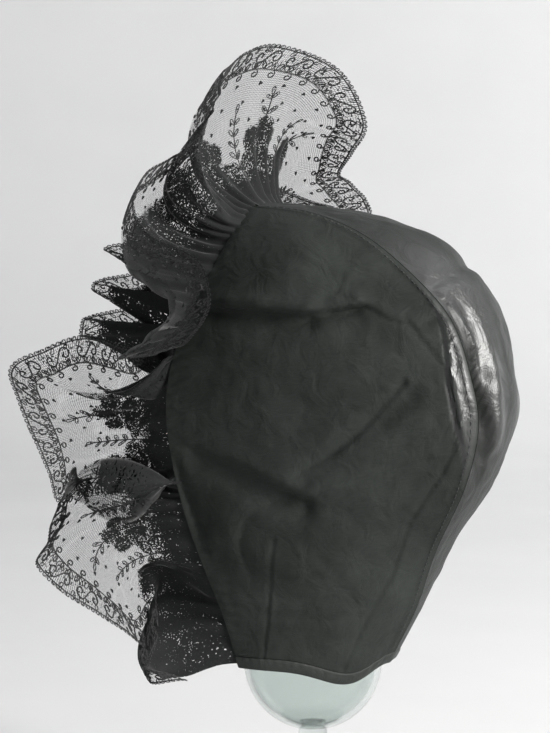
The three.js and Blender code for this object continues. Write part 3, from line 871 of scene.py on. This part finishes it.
def repeated(paths):
    shifts = np.arange(tiles) * tile
    out = np.repeat(paths[None], tiles, 0)
    out[..., 0] = out[..., 0] * tile / lace["repeat"] + shifts.reshape(-1, *([1] * (paths.ndim - 1)))
    return out.reshape(-1, *paths.shape[1:])


# Stretches of the front edge where the lace lies double: from, to, how far across it closes, how much
doubled = [(-0.1, 0.09, 86, 0.84), (0.29, 0.43, 66, 0.72), (0.6, 0.72, 92, 0.78), (0.94, 1.1, 84, 0.8)]


# How closed the ground is in each part of the pattern, from open at 0 to shut at 1
ground = {"base": 0.86, "clump": 0.67, "petal": 0.8, "leaf": 0.6, "border": 0.41}


# Distance along the strip from the nearest repeat of a place in the pattern
def fromRepeat(inTile, place):
    return np.mod(inTile - place + lace["repeat"] / 2, lace["repeat"]) - lace["repeat"] / 2


def groundDensity():
    a = np.linspace(0, laceLength, lace["columns"])[:, None]
    w = np.linspace(0, lace["width"], lace["cells"])[None]
    inTile = np.mod(a, tile) * lace["repeat"] / tile
    dense = ground["base"] * (1 - smooth(w, 8, 34)) + 0 * inTile
    for clumpA, clumpW, radius in clumps:
        away = np.hypot(fromRepeat(inTile, clumpA), w - clumpW) / radius
        dense = np.maximum(dense, ground["clump"] * (1 - smooth(away, 0.7, 1.12)))
    for rows, amount in ((flowers, ground["petal"]), (leaves, ground["leaf"])):
        for footA, footW, way, length, width in rows:
            ca, cw = np.cos(np.radians(way)), np.sin(np.radians(way))
            da, dw = fromRepeat(inTile, footA), w - footW
            along = (da * ca + dw * cw) / length - 0.55
            aside = (dw * ca - da * cw) / width
            inside = 1 - smooth(np.hypot(along / 0.48, aside / 0.46), 0.75, 1.15)
            dense = np.maximum(dense, amount * inside)
    dense = np.maximum(dense, ground["border"] * smooth(w, 82, 82.8))
    for first, last, top, amount in doubled:
        within = smooth(laceAt, first - 0.01, first + 0.01) * (1 - smooth(laceAt, last - 0.01, last + 0.01))
        dense = np.maximum(dense, amount * within[:, None] * (1 - smooth(w, top - 12, top + 4)))
    return dense


# Net in two layers a thread's thickness apart, which close up where the lace is seen along its surface
def buildNet(name, shift):
    rows, columns = lacePoints.shape[:2]
    a, w = grids(np.linspace(0, laceLength, rows), np.linspace(0, lace["width"], columns))
    uv = np.stack([a, w], -1).reshape(-1, 2) * mm
    points = (lacePoints + laceNormals * shift).reshape(-1, 3)
    piece = makePiece(name, points, [gridFaces(rows, columns)], net, uv, {"dense": groundDensity()})
    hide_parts("lace_frill")
    return piece


netPiece = buildNet("lace_net", lace["layer"])
backNetPiece = buildNet("lace_net_back", -lace["layer"])


def threadGroup(paths, radius, sides=3, closed=False, flatness=0.8):
    base, normal = onLace(paths[..., 0], paths[..., 1])
    return base, normal, radius, flatness, sides, closed


def buildMotifs():
    stems = np.stack([stem for stem, leaf in sprigs])
    groups = [
        threadGroup(repeated(petalLoops(flowers, 10)), 0.36, closed=True),
        threadGroup(repeated(petalLoops(leaves, 10)), 0.34, closed=True),
        threadGroup(repeated(stems), 0.42),
    ]
    piece = makeTubes("lace_motifs", groups, thread)
    return piece


motifPiece = buildMotifs()

# Border, in millimetres of a 17 mm repeat: an S with a curl at each end, ovals, hooks and picots
border = {
    "outer": 96.2,
    "inner": 82.6,
    "repeat": 17,
    "ovals": 5.2,
    "leaves": 6.5,
    "hooks": 10.4,
    "picots": 2.6,
    "lineStep": 1.9,
}
scrollPath = [
    (4.3, 90.4), (5.2, 89.7), (5.2, 91.6), (4.0, 92.6), (2.6, 91.2), (2.8, 88.3), (4.9, 86.4), (7.4, 87.8),
    (9.4, 91.2), (11.4, 94.2), (13.8, 93.4), (14.6, 90.0), (12.8, 88.2), (11.6, 90.1), (12.4, 91.4),
]
hookPath = [(0.0, 82.6), (1.5, 80.6), (1.2, 78.6), (-0.7, 78.2), (-1.5, 79.7), (-0.4, 80.9), (0.6, 80.2)]


def along(paths, pitch):
    count = int(round(laceLength / pitch))
    out = np.repeat(np.asarray(paths)[None], count, 0)
    middles = (np.arange(count) + 0.5).reshape(-1, *([1] * (out.ndim - 2)))
    out[..., 0] += middles * laceLength / count - pitch / 2
    return out.reshape(-1, *out.shape[-2:])


def buildBorder():
    a = np.linspace(0, laceLength, int(laceLength / border["lineStep"]))
    lines = np.stack([np.stack([a, np.full_like(a, border[key])], -1) for key in ("outer", "inner")])
    scroll = curvePoints(scrollPath, np.linspace(0, 1, 44))
    turn = 2 * np.pi * np.arange(9) / 9
    oval = np.stack([1.3 + 0.9 * np.cos(turn), 85.0 + 1.7 * np.sin(turn)], -1)
    hook = curvePoints(hookPath, np.linspace(0, 1, 14)) + np.array([3.0, 0])
    half = np.pi * np.linspace(0, 1, 6)
    picot = np.stack([1.3 - 0.9 * np.cos(half), border["outer"] + 1.9 * np.sin(half)], -1)
    leafRows = np.array([
        [0.6, 82.8, 62, 5.0, 2.4],
        [0.6, 82.8, 118, 5.0, 2.4],
        [3.4, border["outer"], -112, 3.6, 1.9],
    ])
    groups = [
        threadGroup(lines, 0.42),
        threadGroup(along(scroll, border["repeat"]), 0.55),
        threadGroup(along(petalLoops(leafRows, 9), border["leaves"]), 0.34, closed=True),
        threadGroup(along(oval, border["ovals"]), 0.36, closed=True),
        threadGroup(along(hook, border["hooks"]), 0.48),
        threadGroup(along(picot, border["picots"]), 0.3),
    ]
    piece = makeTubes("lace_border", groups, thread)
    return piece


borderPiece = buildBorder()

# Dots of three lobes in offset rows: low domes whose radius swells three times round
dots = {
    "rows": [74, 62.5, 51],
    "pitch": 16,
    "radius": 1.25,
    "lobes": 0.32,
    "rise": 0.55,
    "around": 9,
    "rings": 3,
}


def buildDots():
    count = int(round(laceLength / dots["pitch"]))
    centres = []
    for k, w in enumerate(dots["rows"]):
        shift = 0.25 if k % 2 else 0.75
        centres.append(np.stack([(np.arange(count) + shift) * laceLength / count, np.full(count, w)], -1))
    centres = np.concatenate(centres)
    turn = 2 * np.pi * np.arange(dots["around"]) / dots["around"]
    ring = np.linspace(0, 1, dots["rings"] + 1)[1:]
    reach = dots["radius"] * ring[:, None] * (1 + dots["lobes"] * np.cos(3 * turn))[None]
    a = centres[:, 0, None, None] + reach * np.cos(turn)
    w = centres[:, 1, None, None] + reach * np.sin(turn)
    base, normal = onLace(a, w)
    tip, tipNormal = onLace(centres[:, 0], centres[:, 1])
    rise = dots["rise"] * np.sqrt(np.clip(1.02 - ring ** 2, 0, 1))[None, :, None, None] * normal
    tipRise = dots["rise"] * tipNormal
    rings = np.concatenate([base + rise, (base - rise)[:, -2::-1]], 1)
    ends = np.stack([tip + tipRise, tip - tipRise], 1)
    points = np.concatenate([rings.reshape(len(tip), -1, 3), ends], 1)
    shift = (np.arange(len(tip)) * points.shape[1])[:, None, None]
    parts = closedRings(rings.shape[1], dots["around"])
    faces = [(flipped(part) + shift).reshape(-1, part.shape[1]) for part in parts]
    points = points.reshape(-1, 3)
    piece = makePiece("lace_dots", points, faces, thread, np.zeros((len(points), 2)))
    return piece


dotPiece = buildDots()
print("lace made, length", round(float(laceLength)), "mm,", tiles, "repeats")


# Glass stand: the source's profile turned round the upright axis in finer steps
stand = {
    "foot": 50,
    "footEdge": 4,
    "stem": 8,
    "bowl": 39,
    "bowlCentre": 92,
    "wall": 3,
    "shoulder": 0.8 * np.pi,
    "neckRise": 26,
    "neck": 14,
    "rim": 1.5,
    "sides": 112,
}


def standProfile():
    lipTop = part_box("glass_stand")[1][2] / mm
    share = np.linspace(0, 1, 24)

    def rise(start, end):
        x = start[0] + (end[0] - start[0]) * (3 * share ** 2 - 2 * share ** 3)
        middle = (start[1] + end[1]) / 2
        y = start[1] * (1 - share) ** 3 + 3 * middle * share * (1 - share) + end[1] * share ** 3
        return np.stack([x, y], -1)

    def ball(radius, low, high, count):
        angle = np.linspace(low, high, count)
        return np.stack([radius * np.sin(angle), stand["bowlCentre"] - radius * np.cos(angle)], -1)

    innerBowl, innerNeck = stand["bowl"] - stand["wall"], stand["neck"] - stand["wall"]
    neckTop = stand["bowlCentre"] + stand["bowl"] + stand["neckRise"]
    stemAngle = np.arcsin(stand["stem"] / stand["bowl"])
    edge = np.linspace(0, np.pi / 2, 6)
    rim = stand["rim"]
    lipRound = np.linspace(0, np.pi, 9)
    outBall = ball(stand["bowl"], stemAngle, stand["shoulder"], 40)
    inBall = ball(innerBowl, stand["shoulder"], 0, 40)
    return np.concatenate([
        [(0, 0), (stand["foot"] - 1, 0)],
        np.stack([stand["foot"] - 1 + np.sin(edge), 1 - np.cos(edge)], -1)[1:],
        np.stack([stand["foot"] - 1 + np.cos(edge), stand["footEdge"] - 1 + np.sin(edge)], -1),
        [(stand["stem"] * 2, stand["footEdge"] * 2)],
        rise((stand["stem"] * 1.4, stand["footEdge"] * 3), outBall[0]),
        outBall[1:],
        rise(outBall[-1], (stand["neck"], neckTop))[1:],
        np.stack([stand["neck"] - rim + rim * np.cos(lipRound), lipTop - rim + rim * np.sin(lipRound)], -1),
        rise(inBall[0], (innerNeck, neckTop))[::-1],
        inBall[1:],
    ])


def buildStand():
    profile = standProfile()
    turn = 2 * np.pi * np.arange(stand["sides"]) / stand["sides"]
    rings = turned(profile[1:-1], turn)
    ends = np.array([[0, 0, profile[0, 1]], [0, 0, profile[-1, 1]]])
    points = np.concatenate([rings.reshape(-1, 3), ends])
    piece = makePiece("clear_stand", points, closedRings(*rings.shape[:2]), clearGlass)
    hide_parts("glass_stand")


buildStand()
print("stand made")


# Floor that rises into a pale wall far out on every side
def buildFloor():
    profile = np.array([(0, 0), (1500, 0), (2400, 60), (3000, 400), (3300, 1100), (3400, 2600)], float)
    fine = curvePoints(profile, np.linspace(0, 1, 60))
    fine[:, 1] = np.maximum(fine[:, 1], 0) - 0.05
    turn = np.linspace(0, 2 * np.pi, 97)
    ring = turned(fine, turn)
    n = Nodes("pale_paper")
    place = n.add("ShaderNodeTexCoord").outputs["Object"]
    tone = n.ramp(n.noise(place, 6.0, 3.0), (0.66, 0.66, 0.665), (0.71, 0.71, 0.71))
    n.link(tone, "Base Color")
    n.set(Roughness=0.9, Specular_IOR_Level=0.1)
    mesh = bpy.data.meshes.new("floor")
    faces = gridFaces(len(fine), len(turn))
    mesh.from_pydata((ring.reshape(-1, 3) * mm).tolist(), [], faces.tolist())
    mesh.polygons.foreach_set("use_smooth", np.ones(len(faces), bool))
    floor = bpy.data.objects.new("floor", mesh)
    bpy.context.collection.objects.link(floor)
    mesh.materials.append(n.material)


buildFloor()


# Lights and camera
def aim(obj, target):
    way = np.array(obj.location) - np.array(target)
    flat = np.hypot(way[0], way[1])
    obj.rotation_euler = (np.arctan2(flat, way[2]), 0, np.arctan2(way[0], -way[1]))


def areaLight(name, place, size, power, colour, target):
    data = bpy.data.lights.new(name, "AREA")
    data.shape = "DISK"
    data.size = size
    data.energy = power
    data.color = colour
    light = bpy.data.objects.new(name, data)
    bpy.context.collection.objects.link(light)
    light.location = place
    aim(light, target)


areaLight("key_right", (1.75, -0.5, 0.85), 0.8, 65, (1.0, 0.99, 0.97), (0, 0, 0.25))
areaLight("fill_left", (-1.2, -1.7, 0.9), 1.4, 2, (0.97, 0.98, 1.0), (0, 0, 0.25))
areaLight("top_soft", (0.4, 0.2, 2.4), 2.0, 14, (1.0, 1.0, 1.0), (0, 0, 0.25))
areaLight("wall_wash", (1.6, 1.0, 2.4), 1.6, 50, (1.0, 1.0, 1.0), (1.5, 3.0, 0.5))
areaLight("wall_right", (0.9, 2.5, 1.0), 0.8, 8, (1.0, 1.0, 1.0), (0.1, 3.3, 0.5))

world = bpy.data.worlds.new("pale_room")
world.use_nodes = True
world.node_tree.nodes["Background"].inputs["Color"].default_value = (0.9, 0.92, 0.95, 1)
world.node_tree.nodes["Background"].inputs["Strength"].default_value = 0.25
bpy.context.scene.world = world
bpy.context.scene.view_settings.view_transform = "Standard"

# The photo's frame is 550 by 733 pixels of 0.56 mm in the plane through the stand's axis
photo = {
    "azimuth": 15,
    "elevation": 3,
    "distance": 1300,
    "pixel": 0.56,
    "height": 733,
    "aside": -38,
    "middle": 257.5,
}
az, el = np.radians(photo["azimuth"]), np.radians(photo["elevation"])
back = np.array([np.sin(az) * np.cos(el), -np.cos(az) * np.cos(el), np.sin(el)])
right = np.array([np.cos(az), np.sin(az), 0])
centre = right * photo["aside"] * photo["pixel"] + np.array([0, 0, photo["middle"]])
eye = bpy.data.cameras.new("camera")
eye.sensor_fit = "VERTICAL"
eye.sensor_height = 24
eye.lens = 24 * photo["distance"] / (photo["height"] * photo["pixel"])
camera = bpy.data.objects.new("camera", eye)
bpy.context.collection.objects.link(camera)
camera.location = (centre + back * photo["distance"]) * mm
aim(camera, centre * mm)
bpy.context.scene.camera = camera

print("scene done")
